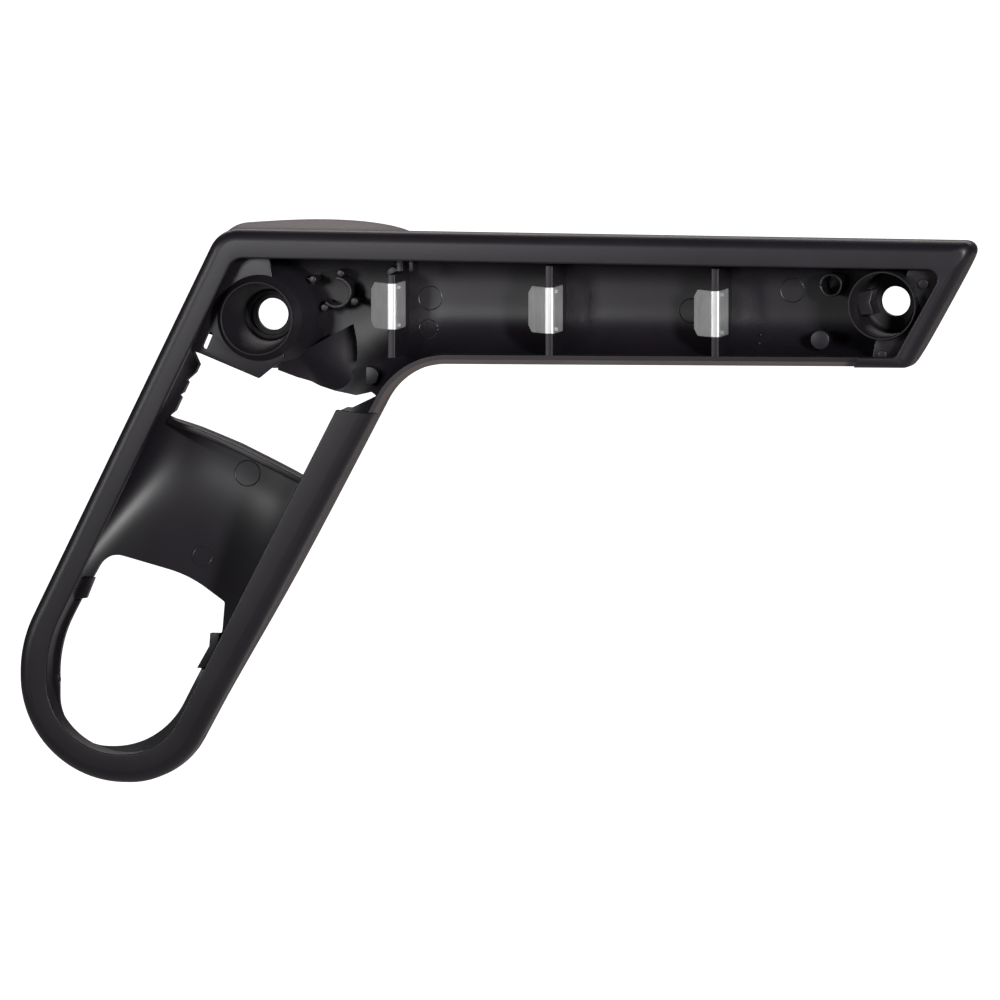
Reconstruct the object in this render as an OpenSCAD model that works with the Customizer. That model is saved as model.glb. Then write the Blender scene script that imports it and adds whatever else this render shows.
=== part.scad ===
// Fixed pull handle trim of a car door, seen from its door side at azimuth 0.
// X runs along the grip bar, Z up, Y from the door to the hand.
// The origin is the centre of the corner screw hole on the seat of its cup.

/* [Outline of the door side] */
// Height of the bar's top edge above the corner screw
top_z = 28; // [26:0.5:32]
// Lean of the bar's top edge, falling to the far end
top_lean = 0.32; // [0:0.02:0.6]
// Depth of the bar's underside below the corner screw
under_z = 13.7; // [12:0.1:15]
// Lean of the bar's underside, rising to the far end
under_lean = 0.35; // [0:0.05:0.8]
// Reach of the left edge, measured at the level of the corner screw
left_x = 25.3; // [24:0.5:30]
// Lean of the arm's left edge from the vertical
left_lean = 26.1; // [24:0.1:27]
// Reach of the arm's right edge, measured at the level of the corner screw
right_x = 53.5; // [52:0.1:58]
// Lean of the arm's right edge from the vertical
right_lean = 28.4; // [28:0.1:30]
// Distance from the far screw to the slanted far end, at the level of the corner screw
end_gap = 16.1; // [15.8:0.1:40]
// Lean of the slanted far end from the vertical
end_lean = 29.3; // [24:0.1:34]
// Reach of the loop to the left
loop_left = 75.2; // [74:0.2:78]
// Reach of the loop downwards
loop_bottom = 145.4; // [142:0.5:152]

/* [Corner radii] */
// Tip of the slanted end
tip_r = 3; // [2:0.5:5]
// Corner where the arm leaves the bar
corner_r = 10; // [6:0.5:14]
// Start of the loop on its left side
entry_r = 40; // [30:1:42]
// Left half of the loop
loop_r = 33; // [30:0.2:35]
// Right half of the loop
heel_r = 26; // [22:0.5:28]
// Inside corner between bar and arm
inside_r = 22.5; // [18:0.5:24]
// Lower corner of the slanted end
foot_r = 3; // [2:0.5:5]

/* [Surround frame] */
// Depth of the frame, from the door to its seam with the shell
frame_h = 8.5; // [7:0.1:10]
// Thickness of the flat land that rests on the door
land_t = 2.5; // [2:0.1:3.5]
// Thickness of the frame's outer skirt
skirt_t = 2.6; // [2:0.1:3.2]
// Radius of the frame's rolled shoulder
shoulder_r = 4; // [2:0.2:5]
// Width of the land along the top of the bar
top_band = 9; // [7:0.1:11]
// Width of the land at the slanted end
end_band = 7; // [6:0.1:9]
// Width of the land along the arm's left side
left_band = 8.5; // [7:0.1:10]
// Width of the land round the loop
loop_band = 9.1; // [8:0.1:11]
// Width of the short land at the foot of the slanted end
foot_band = 3.4; // [3:0.1:4.5]
// Width of the land along the arm's right side, at the level of the corner screw
arm_band = 13.2; // [12:0.1:15]
// Lean of the inner edge of the arm's right land
arm_band_lean = 27.2; // [27:0.1:28.5]
// Depth of the wall inside the loop
loop_wall_h = 11.2; // [10:0.1:11.2]
// Thickness of the wall inside the loop
loop_wall_t = 2; // [1.5:0.1:2.6]
// Height above the loop's bottom at which its wall starts on the left
loop_start = 70; // [66:0.5:74]
// Length of land that turns the foot of the slanted end
hook_foot = 15; // [12:0.5:20]
// Level at which the arm's right land ends, below the corner screw
hook_arm = 28; // [26:0.5:32]

/* [Grip shell] */
// Thickness of the side walls
wall = 2.8; // [2.6:0.1:3.2]
// Thickness of the hand side skin
skin = 2.6; // [2:0.1:3]
// Depth of the bar, from the door to the hand side
bar_depth = 35; // [34:0.5:38]
// Depth of the loop, from the door to the hand side
loop_depth = 14.5; // [14:0.1:16]
// Squareness of the bar's crown
bar_square = 3.4; // [3.2:0.1:4]
// Squareness of the loop's crown
loop_square = 5; // [4.5:0.1:6]
// Swell of the hand side above the top edge at the corner
swell = 5.8; // [0:0.2:6.4]
// Lean of the bar's upper side towards its middle, as rise over run
upper_fall = 0.08; // [0:0.01:0.12]
// Outward bow of the arm's right side
flank = 0.6; // [0:0.2:2]

/* [Screw cups] */
// Radius of the corner screw's hole
screw_r = 5; // [4:0.1:5.5]
// Radius of the far screw's hole
far_screw_r = 4.3; // [4:0.1:5.5]
// Distance from the corner screw to the far screw along the bar
screw_pitch = 197.5; // [190:0.1:240]
// Rise of the far screw
screw_rise = 6.3; // [6:0.1:7]
// Thickness of the floor that the screw holds
floor_t = 3; // [2.5:0.1:3.2]
// Depth of the cup mouths behind the door plane
cup_y = 4; // [3:0.5:6]
// Inner radius of the corner cup
corner_cup_r = 11.4; // [11:0.1:12]
// Inner radius of the far cup
far_cup_r = 10.4; // [10:0.1:10.6]
// Thickness of the cup walls
cup_wall = 1.5; // [1.2:0.1:1.6]
// Radius of the recess round the hole in the corner cup's floor
step_r = 6.6; // [6:0.1:7.5]
// Depth of that recess
step_h = 2.5; // [1:0.1:3]
// Radius of the screw head recess on the hand side
head_r = 8.5; // [7:0.1:9.5]
// Depth of that recess
head_h = 3; // [2.7:0.1:4]

/* [Ribs and clips] */
// Place of each rib along the bar
rib_x = [42, 92.3, 144.8];
// Thickness of a rib
rib_t = 2.2; // [1.8:0.1:2.6]
// Depth of the rib edges behind the door plane
rib_y = 9.5; // [9:0.1:11]
// Height of the middle of the clips
clip_z = 4.3; // [3:0.1:6]
// Length of a clip along its rib
clip_l = 14.4; // [12:0.1:16]
// Thickness of the clip steel
clip_t = 0.6; // [0.4:0.1:0.8]
// Depth of a clip's straight leg
clip_leg = 14; // [10:0.5:15]
// Reach of a clip's sprung leaf to the side
clip_reach = 6.6; // [5:0.1:7.5]
// Depth to which a clip's sprung leaf falls back
clip_fall = 8; // [6:0.2:10]
// Cut corners of the sprung leaf
clip_chamfer = 2; // [1:0.1:2.5]

/* [Inner details] */
// Depth of the platform beside the corner cup behind the door plane
platform_y = 9; // [8.8:0.1:10]
// Thickness of that platform
platform_t = 2.4; // [2:0.1:3]
// Inward reach of the ledge round the switch opening
ledge = 1.4; // [1:0.1:2]
// Inward reach of that ledge along the arm's right side
heel_ledge = 3; // [2:0.1:3.5]
// Thickness of the rib along the lever window
rim_t = 2; // [1.6:0.1:2.4]
// Depth of that rib's edge behind the door plane
rim_y = 25.5; // [24:0.5:27]
// Height of that rib
rim_h = 6; // [5:0.1:6.4]
// Radius of the open ring beside the first clip
ring_r = 4.5; // [4:0.1:5]
// Thickness of the open ring
ring_t = 1; // [0.8:0.1:1.4]
// Depth of its edge behind the door plane
ring_y = 22; // [20:0.5:25]
// Radius of the pins round the open ring
pin_r = 1.2; // [1:0.1:1.5]
// Depth of the other posts behind the door plane
post_y = 20; // [18:0.5:25]

/* [Hidden] */
$fn = 48;
plastic = "#1b1b1c";
steel = "#c9ccd0";
lip = 0.6;
bead_h = 0.8;
post_bite = 0.6;
post_foot = bar_depth - skin + post_bite;
seat_y = bar_depth - head_h - floor_t;
ring_at = [21.6, 7.4];
end_x = screw_pitch + end_gap;
far_screw = [screw_pitch, screw_rise];
disc_offset = [-22.2, -11.8];
disc_at = far_screw + disc_offset;
disc_r = 3;
tube_offset = [-18.8, 5.2];
tube_at = far_screw + tube_offset;
tube_r = 3.5;
tube_t = 0.7;
tube_floor = 2;
ring_pins = [[14.4, 11.4], [23.2, 13.4], [27.6, 4.7], [18.1, 2.6]];
sheet_corner = [-25, -81.6];
sheet_end = [-13.4, -92];

// Points of each rounded corner: tip, corner, loop entry, loop, heel, inside corner, foot
arc_steps = [4, 5, 5, 8, 8, 7, 4];

function turned(v, a) = [v[0] * cos(a) - v[1] * sin(a), v[0] * sin(a) + v[1] * cos(a)];
function leftward(v) = [-v[1], v[0]];
function blend(a, b, f) = a + (b - a) * f;
function eased(f) = f * f * (3 - 2 * f);

// An edge is a point on it and its direction; the outline runs counter-clockwise
function meet(a, b) = a[0] + cross(b[0] - a[0], b[1]) / cross(a[1], b[1]) * a[1];
function inset(e, w) = [e[0] + w * leftward(e[1]), e[1]];
edges = [
    [[end_x, 0], [sin(end_lean), cos(end_lean)]],
    [[0, top_z], [-cos(top_lean), sin(top_lean)]],
    [[-left_x, 0], [-sin(left_lean), -cos(left_lean)]],
    [[-loop_left, 0], [0, -1]],
    [[0, -loop_bottom], [1, 0]],
    [[right_x, 0], [sin(right_lean), cos(right_lean)]],
    [[right_x, -under_z], [cos(under_lean), sin(under_lean)]]
];
radii = [tip_r, corner_r, entry_r, loop_r, heel_r, inside_r, foot_r];
corner_count = len(edges);

// The arc between two edges, from one tangent point to the other
function corner_arc(a, b, r, n) =
    let (
        turn = atan2(cross(a[1], b[1]), a[1] * b[1]),
        start = meet(a, b) - r * tan(abs(turn) / 2) * a[1],
        centre = start + sign(turn) * r * leftward(a[1])
    )
    [for (k = [0:n]) centre + turned(start - centre, turn * k / n)];
function headings(a, b, n) =
    let (turn = atan2(cross(a[1], b[1]), a[1] * b[1]))
    [for (k = [0:n]) turned(a[1], turn * k / n)];
function rounded(es, rs, ns) = [
    for (i = [0:len(es) - 1]) corner_arc(es[i], es[(i + 1) % len(es)], rs[i], ns[i])
];
function arcs(es, rs) = rounded(es, rs, arc_steps);
function joined(lists) = [for (l = lists) for (p = l) p];
function flipped(l) = [for (i = [len(l) - 1:-1:0]) l[i]];

// Outline of the hand side shell, and the same moved inwards by the wall
outline = arcs(edges, radii);
function wall_radius(r, i, w) = i == 5 ? r + w : max(r - w, 1);
function walled(w) = arcs(
    [for (e = edges) inset(e, w)],
    [for (i = [0:corner_count - 1]) wall_radius(radii[i], i, w)]
);

// Inner edge of the frame's land
band_edges = [
    inset(edges[0], end_band),
    inset(edges[1], top_band),
    inset(edges[2], left_band),
    inset(edges[3], loop_band),
    inset(edges[4], loop_band),
    [[right_x - arm_band, 0], [sin(arm_band_lean), cos(arm_band_lean)]],
    inset(edges[6], foot_band)
];
band_radii = [3, 5, 40, 23, 20, 22, 2];
function band_arcs(w) = arcs(
    [for (e = band_edges) inset(e, w)],
    [for (i = [0:corner_count - 1]) wall_radius(band_radii[i], i, w)]
);
band = band_arcs(0);

// Lines across the land where the frame's two ends are, and across the arm where the loop starts
arm_cut_lean = 6.4;
foot_cut = inset(edges[0], hook_foot);
arm_cut = [[right_x / 2, -hook_arm], [cos(arm_cut_lean), -sin(arm_cut_lean)]];
arm_lean = (left_lean + right_lean) / 2;
loop_line = [[-loop_left + left_band, -loop_bottom + loop_start], [cos(arm_lean), -sin(arm_lean)]];
loop_line_below = [loop_line[0] - [0, loop_wall_t], loop_line[1]];
// Stations between two points, with as many steps as the long straight runs need
top_run = 8;
end_run = 3;
arm_run = 4;
function steps_to(p, q, n) = [for (k = [1:n - 1]) blend(p, q, k / n)];
function last(l) = l[len(l) - 1];
function hook(a, es) = concat(
    [meet(es[6], foot_cut)], a[6],
    steps_to(last(a[6]), a[0][0], end_run), a[0],
    steps_to(last(a[0]), a[1][0], top_run), a[1],
    steps_to(last(a[1]), meet(es[2], loop_line), arm_run),
    [meet(es[2], loop_line), meet(es[2], loop_line_below)],
    a[2], a[3], a[4],
    [meet(es[5], loop_line_below), meet(es[5], loop_line)],
    steps_to(meet(es[5], loop_line), meet(es[5], arm_cut), arm_run),
    [meet(es[5], arm_cut)]
);
function same(v, n) = [for (k = [1:n]) v];
function hook_headings() =
    let (
        after = [for (i = [0:corner_count - 1]) edges[(i + 1) % corner_count]],
        h = [for (i = [0:corner_count - 1]) headings(edges[i], after[i], arc_steps[i])]
    )
    concat(
        [edges[6][1]], h[6],
        same(edges[0][1], end_run - 1), h[0],
        same(edges[1][1], top_run - 1), h[1],
        same(edges[2][1], arm_run + 1),
        h[2], h[3], h[4],
        same(edges[5][1], arm_run + 2)
    );
function in_loop(p) = cross(loop_line[1], p - loop_line_below[0]) < 0.01;

// Chains along the outline that carry the two edges of the shell, from the slanted end to the loop
function upper_chain(a) = joined([a[0], a[1], a[2], a[3]]);
function lower_chain(a) = joined([flipped(a[6]), flipped(a[5]), flipped(a[4])]);
function lengths(c) = [
    for (i = 0, s = 0; i < len(c); s = s + (i + 1 < len(c) ? norm(c[i + 1] - c[i]) : 0), i = i + 1) s
];
function at(c, l, s) = [
    lookup(s, [for (i = [0:len(c) - 1]) [l[i], c[i][0]]]),
    lookup(s, [for (i = [0:len(c) - 1]) [l[i], c[i][1]]])
];

// Stations: end zone, bar, corner, arm and loop; each has a count of steps
zone_steps = [6, 3, 9, 7, 9];
end_zone = [30, 17];
corner_lead = 51;
corner_tail = 12;
loop_lead = 13;
loop_gap = 3;
function knots(c, l, upper) =
    let (
        n0 = arc_steps[0],
        n1 = n0 + 1 + arc_steps[1],
        m0 = arc_steps[6],
        m1 = m0 + 1,
        m2 = m1 + arc_steps[5],
        m3 = m2 + 1,
        all = l[len(l) - 1]
    )
    upper
        ? [0, end_zone[0], l[n0 + 1] - corner_lead, l[n1] + corner_tail, l[n1 + 1], all - loop_gap]
        : [0, end_zone[1], l[m1], l[m2], l[m3] - loop_lead, all - loop_gap];

// Each station as its place on the chain, its zone and its share of that zone
marks = [
    for (z = [0:len(zone_steps) - 1])
        for (k = [(z == 0 ? 0 : 1):zone_steps[z]])
            let (f = k / zone_steps[z])
            [z, z == 0 ? 1 - cos(90 * f) : z == 4 ? sin(90 * f) : f]
];
function placed(c, upper) =
    let (l = lengths(c), q = knots(c, l, upper))
    [for (m = marks) at(c, l, blend(q[m[0]], q[m[0] + 1], m[1]))];

// Depth of the crown at a station; the two ends are rounded off, and the arm falls from bar to loop
end_square = 2.2;
loop_end_square = 3;
arm_start = 0.42;
swell_square = 0.8;
swell_skew = 0.75;
function round_end(f, n) = pow(max(1 - pow(1 - f, n), 0), 1 / n);
function arm_share(f) = f < arm_start ? 0 : eased((f - arm_start) / (1 - arm_start));
function crown(m, bar, loop) =
    m[0] == 0 ? bar * round_end(m[1], end_square)
    : m[0] < 3 ? bar
    : m[0] == 3 ? blend(bar, loop, arm_share(m[1]))
    : loop * round_end(1 - m[1], loop_end_square);
function square_at(m) = m[0] < 3 ? bar_square
    : m[0] == 3 ? blend(bar_square, loop_square, arm_share(m[1])) : loop_square;

// Sideways shapes of the section: swell over the corner, lean of the upper side, bow of the arm
function swell_at(m) = m[0] == 2 ? swell * pow(sin(180 * pow(m[1], swell_skew)), swell_square) : 0;
function fall_at(m) = m[0] < 3 ? upper_fall : m[0] == 3 ? upper_fall * (1 - arm_share(m[1])) : 0;
function flank_at(m) = m[0] == 3 ? flank * sin(180 * m[1]) : 0;

// One arched section from the outer edge p to the inner edge q; side is [swell, fall, flank]
arch_steps = 14;
bow_power = 1.6;
function arch(p, q, rise, square, side) =
    let (out = (p - q) / norm(p - q))
    [
        for (j = [0:arch_steps])
            let (
                c = cos(180 * j / arch_steps),
                s = sin(180 * j / arch_steps),
                across = (1 - sign(c) * pow(abs(c), 2 / square)) / 2,
                up = pow(s, 2 / square),
                bow = sin(180 * pow(up, bow_power)),
                lean = side[1] * rise * up * pow(abs(c), 2 / square),
                push = c > 0 ? side[0] * bow - lean : -side[2] * bow,
                flat = blend(p, q, across) + push * out
            )
            [flat[0], frame_h + rise * up, flat[1]]
    ];
function skin_rows(a, bar, loop) =
    let (u = placed(upper_chain(a), true), v = placed(lower_chain(a), false))
    [
        for (i = [0:len(marks) - 1])
            let (m = marks[i])
            arch(u[i], v[i], crown(m, bar, loop), square_at(m), [swell_at(m), fall_at(m), flank_at(m)])
    ];

// A closed solid between two grids of rows that share their rim plane
module shell_between(outer, inner) {
    rows = len(outer);
    cols = len(outer[0]);
    count = rows * cols;
    grid = [for (i = [0:rows - 2]) for (j = [0:cols - 2]) [i, j]];
    top = rows - 1;
    end = cols - 1;
    function out(i, j) = i * cols + j;
    function in(i, j) = count + i * cols + j;
    function quad(a, b, c, d) = [[a, b, c], [a, c, d]];
    polyhedron(
        points = concat(joined(outer), joined(inner)),
        faces = joined(concat(
            [for (g = grid) let (i = g[0], j = g[1])
                quad(out(i, j), out(i + 1, j), out(i + 1, j + 1), out(i, j + 1))],
            [for (g = grid) let (i = g[0], j = g[1])
                quad(in(i, j), in(i, j + 1), in(i + 1, j + 1), in(i + 1, j))],
            [for (i = [0:top - 1]) quad(out(i, 0), in(i, 0), in(i + 1, 0), out(i + 1, 0))],
            [for (i = [0:top - 1]) quad(out(i, end), out(i + 1, end), in(i + 1, end), in(i, end))],
            [for (j = [0:end - 1]) quad(out(0, j), out(0, j + 1), in(0, j + 1), in(0, j))],
            [for (j = [0:end - 1]) quad(out(top, j), in(top, j), in(top, j + 1), out(top, j + 1))]
        ))
    );
}

// A closed loop of section points carried along stations, with its two ends closed
module swept(rings) {
    n = len(rings[0]);
    top = len(rings) - 1;
    polyhedron(
        points = joined(rings),
        faces = concat(
            [[for (j = [0:n - 1]) j]],
            [for (i = [0:top - 1]) for (j = [0:n - 1])
                [i * n + j, (i + 1) * n + (j + 1) % n, i * n + (j + 1) % n]],
            [for (i = [0:top - 1]) for (j = [0:n - 1])
                [i * n + j, (i + 1) * n + j, (i + 1) * n + (j + 1) % n]],
            [flipped([for (j = [0:n - 1]) top * n + j])]
        )
    );
}

// Plate in the plane of the door between two depths
module plate(y0, y1) {
    translate([0, y1, 0]) rotate([90, 0, 0]) linear_extrude(y1 - y0) children();
}

module peg(x, z, y0, y1, r) {
    translate([x, y1, z]) rotate([90, 0, 0]) cylinder(r = r, h = y1 - y0);
}

module in_frame() {
    translate([0, -seat_y, 0]) children();
}

// Openings through the hand side: the lever window under the corner cup and the switch opening
lever_window = [
    [-23, -5], [-9, -10.5], [-4, -13.2], [-0.5, -16.4], [2.6, -16.4], [8.4, -19.4], [14.7, -22.5],
    [19.5, -24], [24.3, -24.9], [33, -24.8], [31, -31], [12, -52], [2, -47.1], [-10.7, -41],
    [-23.5, -35.8], [-31.6, -33], [-28.5, -25], [-24, -16], [-26, -10]
];
window_y = 12;
switch_edges = [
    [[right_x - arm_band - heel_ledge, 0], [sin(arm_band_lean), cos(arm_band_lean)]],
    [sheet_end, [0, 1]],
    [sheet_corner, [cos(145), sin(145)]],
    [sheet_corner, [cos(164), sin(164)]],
    inset(edges[2], left_band + ledge),
    inset(edges[3], loop_band + ledge),
    inset(edges[4], loop_band + ledge)
];
switch_radii = [4, 1, 40, 6, 40, 15.5, 26];
switch_steps = [2, 2, 3, 4, 3, 6, 6];
switch_opening = rounded(switch_edges, switch_radii, switch_steps);

slot_ends = [[-15.7, -5.2], [-17.4, -9.2]];
slot_r = 0.8;
module platform() {
    side = slot_r * leftward(slot_ends[1] - slot_ends[0]) / norm(slot_ends[1] - slot_ends[0]);
    plate(platform_y, platform_y + platform_t) difference() {
        polygon([
            [-12.4, 23], [-8, 26.2], [2, 26.2], [8, -12.6],
            [4.1, -15.3], [-0.3, -18.9], [-18.8, -11.4], [-27.6, -8.6]
        ]);
        for (e = slot_ends) translate(e) circle(slot_r);
        polygon([slot_ends[0] + side, slot_ends[0] - side, slot_ends[1] - side, slot_ends[1] + side]);
    }
}

// Rib along the window's lower edge
module window_rib() {
    run = [[14, -53], [2, -47.1], [-10.7, -41], [-23.5, -35.8], [-32.5, -32.6]];
    drop = rim_t * [-sin(arm_lean), -cos(arm_lean)];
    plate(rim_y, rim_y + rim_h) polygon(concat(run, flipped([for (p = run) p + drop])));
}

// Web across the channel, shaped by the shell's own section; foot is its lowest level
first_rib_low = -20;
first_rib_foot = -12;
module cross_rib(x, low, foot) {
    web = arch([x, top_z - wall / 2], [x, low + wall / 2], bar_depth - skin / 2 - frame_h, bar_square,
        [0, upper_fall, 0]);
    translate([x - rib_t / 2, 0, 0]) rotate([90, 0, 90]) linear_extrude(rib_t)
        polygon([for (p = web) [max(p[1], rib_y), max(p[2], foot)]]);
}

module cup(x, z, r) {
    peg(x, z, cup_y, seat_y + floor_t, r + cup_wall);
}
module cup_cut(x, z, r, step, hole) {
    peg(x, z, cup_y - 1, seat_y - step, r);
    if (step > 0) peg(x, z, seat_y - step - 1, seat_y, step_r);
    peg(x, z, seat_y - 1, seat_y + floor_t + 1, hole);
    peg(x, z, seat_y + floor_t, bar_depth + 1, head_r);
}

module c_ring(x, z) {
    difference() {
        peg(x, z, ring_y, post_foot, ring_r + ring_t / 2);
        peg(x, z, ring_y - 1, post_foot + 1, ring_r - ring_t / 2);
        plate(ring_y - 1, post_foot + 1) translate([x, z]) polygon([[0, 0], [-0.5, 9], [-9, 9], [-9, -8]]);
    }
}

module posts() {
    for (p = ring_pins) peg(p[0], p[1], ring_y - 1, post_foot, pin_r);
    peg(disc_at[0], disc_at[1], post_y, post_foot, disc_r);
    difference() {
        peg(tube_at[0], tube_at[1], post_y, post_foot, tube_r);
        peg(tube_at[0], tube_at[1], post_y - 1, post_foot - tube_floor, tube_r - tube_t);
    }
}

module grip_shell() {
    outer = skin_rows(outline, bar_depth - frame_h, loop_depth - frame_h);
    inner = skin_rows(walled(wall), bar_depth - skin - frame_h, loop_depth - skin - frame_h);
    under = function(x) -under_z + (x - right_x) * tan(under_lean);
    color(plastic) in_frame() difference() {
        union() {
            shell_between(outer, inner);
            platform();
            window_rib();
            cup(0, 0, corner_cup_r);
            cup(screw_pitch, screw_rise, far_cup_r);
            cross_rib(rib_x[0], first_rib_low, first_rib_foot);
            cross_rib(rib_x[1], under(rib_x[1]), -under_z);
            cross_rib(rib_x[2], under(rib_x[2]), -under_z);
            c_ring(ring_at[0], ring_at[1]);
            posts();
        }
        cup_cut(0, 0, corner_cup_r, step_h, screw_r);
        cup_cut(screw_pitch, screw_rise, far_cup_r, 0, far_screw_r);
        plate(window_y, bar_depth + 1) polygon(lever_window);
        plate(cup_y, bar_depth + 1) polygon(joined(switch_opening));
    }
}

module surround_frame() {
    outer = hook(outline, edges);
    inner = hook(band, band_edges);
    along = hook_headings();
    steps = 4;
    least_flat = 1;
    rings = [
        for (i = [0:len(outer) - 1])
            let (
                w = cross(along[i], inner[i] - outer[i]),
                u = (inner[i] - outer[i]) / w,
                r = min(shoulder_r, w - least_flat),
                skirt = min(skirt_t, w - 2 * least_flat),
                bead = min(loop_wall_t, w - skirt - least_flat),
                deep = in_loop(outer[i]) ? loop_wall_h : land_t + bead_h,
                section = concat(
                    [[0, frame_h]],
                    [for (k = [0:steps]) [r - r * cos(90 * k / steps), r - r * sin(90 * k / steps)]],
                    [[w - lip, 0], [w, lip], [w, deep], [w - bead, deep], [w - bead, land_t]],
                    [[skirt, land_t], [skirt, frame_h]]
                )
            )
            [for (s = section) [outer[i][0] + u[0] * s[0], s[1], outer[i][1] + u[1] * s[0]]]
    ];
    color(plastic) in_frame() swept(rings);
}

// Folded spring steel: a nose over the rib's edge, a straight leg and a leaf that springs out
module clip(x) {
    side = rib_t / 2;
    nose = rib_y - clip_t;
    bend = [[side + clip_t, nose], [side + clip_t, rib_y + clip_leg], [side, rib_y + clip_leg], [side, rib_y]];
    leaf = [[-side, rib_y], [-side - clip_reach, rib_y + clip_fall], [-side - clip_reach, nose + clip_fall]];
    half = clip_l / 2;
    color(steel) in_frame() translate([x, 0, clip_z]) intersection() {
        translate([0, 0, -half]) linear_extrude(clip_l) polygon(concat(bend, leaf, [[-side, nose]]));
        plate(0, bar_depth) polygon([
            [-side - clip_reach, clip_chamfer - half], [clip_chamfer - side - clip_reach, -half],
            [side + clip_t, -half], [side + clip_t, half],
            [clip_chamfer - side - clip_reach, half], [-side - clip_reach, half - clip_chamfer]
        ]);
    }
}

module clip_left() clip(rib_x[0]);
module clip_middle() clip(rib_x[1]);
module clip_right() clip(rib_x[2]);

grip_shell();
surround_frame();
clip_left();
clip_middle();
clip_right();
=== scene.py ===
import math
import bpy
import numpy as np
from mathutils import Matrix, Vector


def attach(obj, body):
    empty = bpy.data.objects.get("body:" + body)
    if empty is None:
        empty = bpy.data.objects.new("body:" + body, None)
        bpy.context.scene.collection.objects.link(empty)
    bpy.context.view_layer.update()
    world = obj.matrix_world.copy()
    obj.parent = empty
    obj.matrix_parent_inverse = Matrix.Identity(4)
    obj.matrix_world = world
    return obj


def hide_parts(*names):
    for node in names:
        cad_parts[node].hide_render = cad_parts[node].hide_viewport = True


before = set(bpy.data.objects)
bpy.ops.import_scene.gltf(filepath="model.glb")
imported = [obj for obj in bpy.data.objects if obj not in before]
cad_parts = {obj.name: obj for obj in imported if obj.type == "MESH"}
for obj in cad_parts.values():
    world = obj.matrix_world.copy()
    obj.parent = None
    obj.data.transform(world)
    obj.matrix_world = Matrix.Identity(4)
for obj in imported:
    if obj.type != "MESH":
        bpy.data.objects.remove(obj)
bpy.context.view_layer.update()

# Shapes are worked out in millimetres: x along the bar, d the depth behind the door plane, z up
mmPerMetre = 1000.0
seatDepth = 29.0     # depth of the screw seats, where the frame's origin lies
seamDepth = 8.5      # depth of the seam between frame and shell
sharpAngle = 35.0    # degrees; edges that turn by more stay sharp
throughCut = 36.0    # depth behind the whole part, where cuts that go through it end
fineness = dict(disc=72, turned=96, post=36, ring=60, halfPost=30, slotEnd=13)    # points on round shapes
tiny = 1e-9

print("scene: frame loaded")


# Points (x, d, z) in millimetres to Blender's metres in the part's frame: y = d - the seats' depth
def toMetres(points):
    out = np.array(points, dtype=float)
    out[:, 1] -= seatDepth
    return out / mmPerMetre


# Volume = sum over a fan of triangles in each face of a . (b x c) / 6
def signedVolume(points, faces):
    fan = np.array([(f[0], f[k], f[k + 1]) for f in faces for k in range(1, len(f) - 1)])
    a, b, c = points[fan[:, 0]], points[fan[:, 1]], points[fan[:, 2]]
    return float(np.einsum("ij,ij->i", a, np.cross(b, c)).sum() / 6)


# Smooth shading, where edges that turn by more than the angle stay sharp
def shadeSmooth(mesh, angle):
    mesh.shade_smooth()
    mesh.set_sharp_from_angle(angle=math.radians(angle))


# A new object of the mesh, lamp or camera joins the scene, at the origin and unturned
def addObject(name, data):
    made = bpy.data.objects.new(name, data)
    bpy.context.scene.collection.objects.link(made)
    return made


# A mesh object from closed shells of (points, faces), one after another; a shell whose volume comes out
# below nought has its faces turned round, so that all of them point outwards
def makePiece(name, shells, material, angle=sharpAngle):
    allPoints, allFaces, count = [], [], 0
    for points, faces in shells:
        points = toMetres(points)
        if signedVolume(points, faces) < 0:
            faces = [face[::-1] for face in faces]
        allPoints.append(points)
        allFaces += [tuple(int(i) + count for i in face) for face in faces]
        count += len(points)
    mesh = bpy.data.meshes.new(name)
    mesh.from_pydata(np.vstack(allPoints).tolist(), [], allFaces)
    mesh.validate()
    shadeSmooth(mesh, angle)
    mesh.materials.append(material)
    return addObject(name, mesh)


# Quads of a grid: (i, j), (i + 1, j), (i + 1, j + 1), (i, j + 1); closed joins the last column to the first
def ringFaces(rows, columns, closed=True):
    i, j = np.meshgrid(np.arange(rows - 1), np.arange(columns if closed else columns - 1), indexing="ij")
    after = (j + 1) % columns
    corners = [i * columns + j, (i + 1) * columns + j, (i + 1) * columns + after, i * columns + after]
    return np.stack(corners, -1).reshape(-1, 4).tolist()


# A closed section carried through rings (n, m, 3): quads between neighbours, and both end rings as faces
def tube(rings):
    count, around = rings.shape[:2]
    faces = ringFaces(count, around)
    faces.append(list(range(around)))
    faces.append([(count - 1) * around + k for k in range(around)][::-1])
    return rings.reshape(-1, 3), faces


# A closed section (r, d) turned once round the axis at (x, z): x + r cos a, d + rise(a), z + r sin a
def turned(section, x, z, steps=fineness["turned"], rise=0.0):
    a = np.linspace(0, 2 * np.pi, steps, endpoint=False)[:, None]
    r, depth = np.asarray(section, dtype=float).T
    depth = depth + 0 * a + np.reshape(rise, (-1, 1))
    rings = np.stack([x + r * np.cos(a), depth, z + r * np.sin(a)], -1)
    around = len(r)
    i, j = np.meshgrid(np.arange(steps), np.arange(around), indexing="ij")
    nextI, nextJ = (i + 1) % steps, (j + 1) % around
    corners = [i * around + j, nextI * around + j, nextI * around + nextJ, i * around + nextJ]
    return rings.reshape(-1, 3), np.stack(corners, -1).reshape(-1, 4).tolist()


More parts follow.
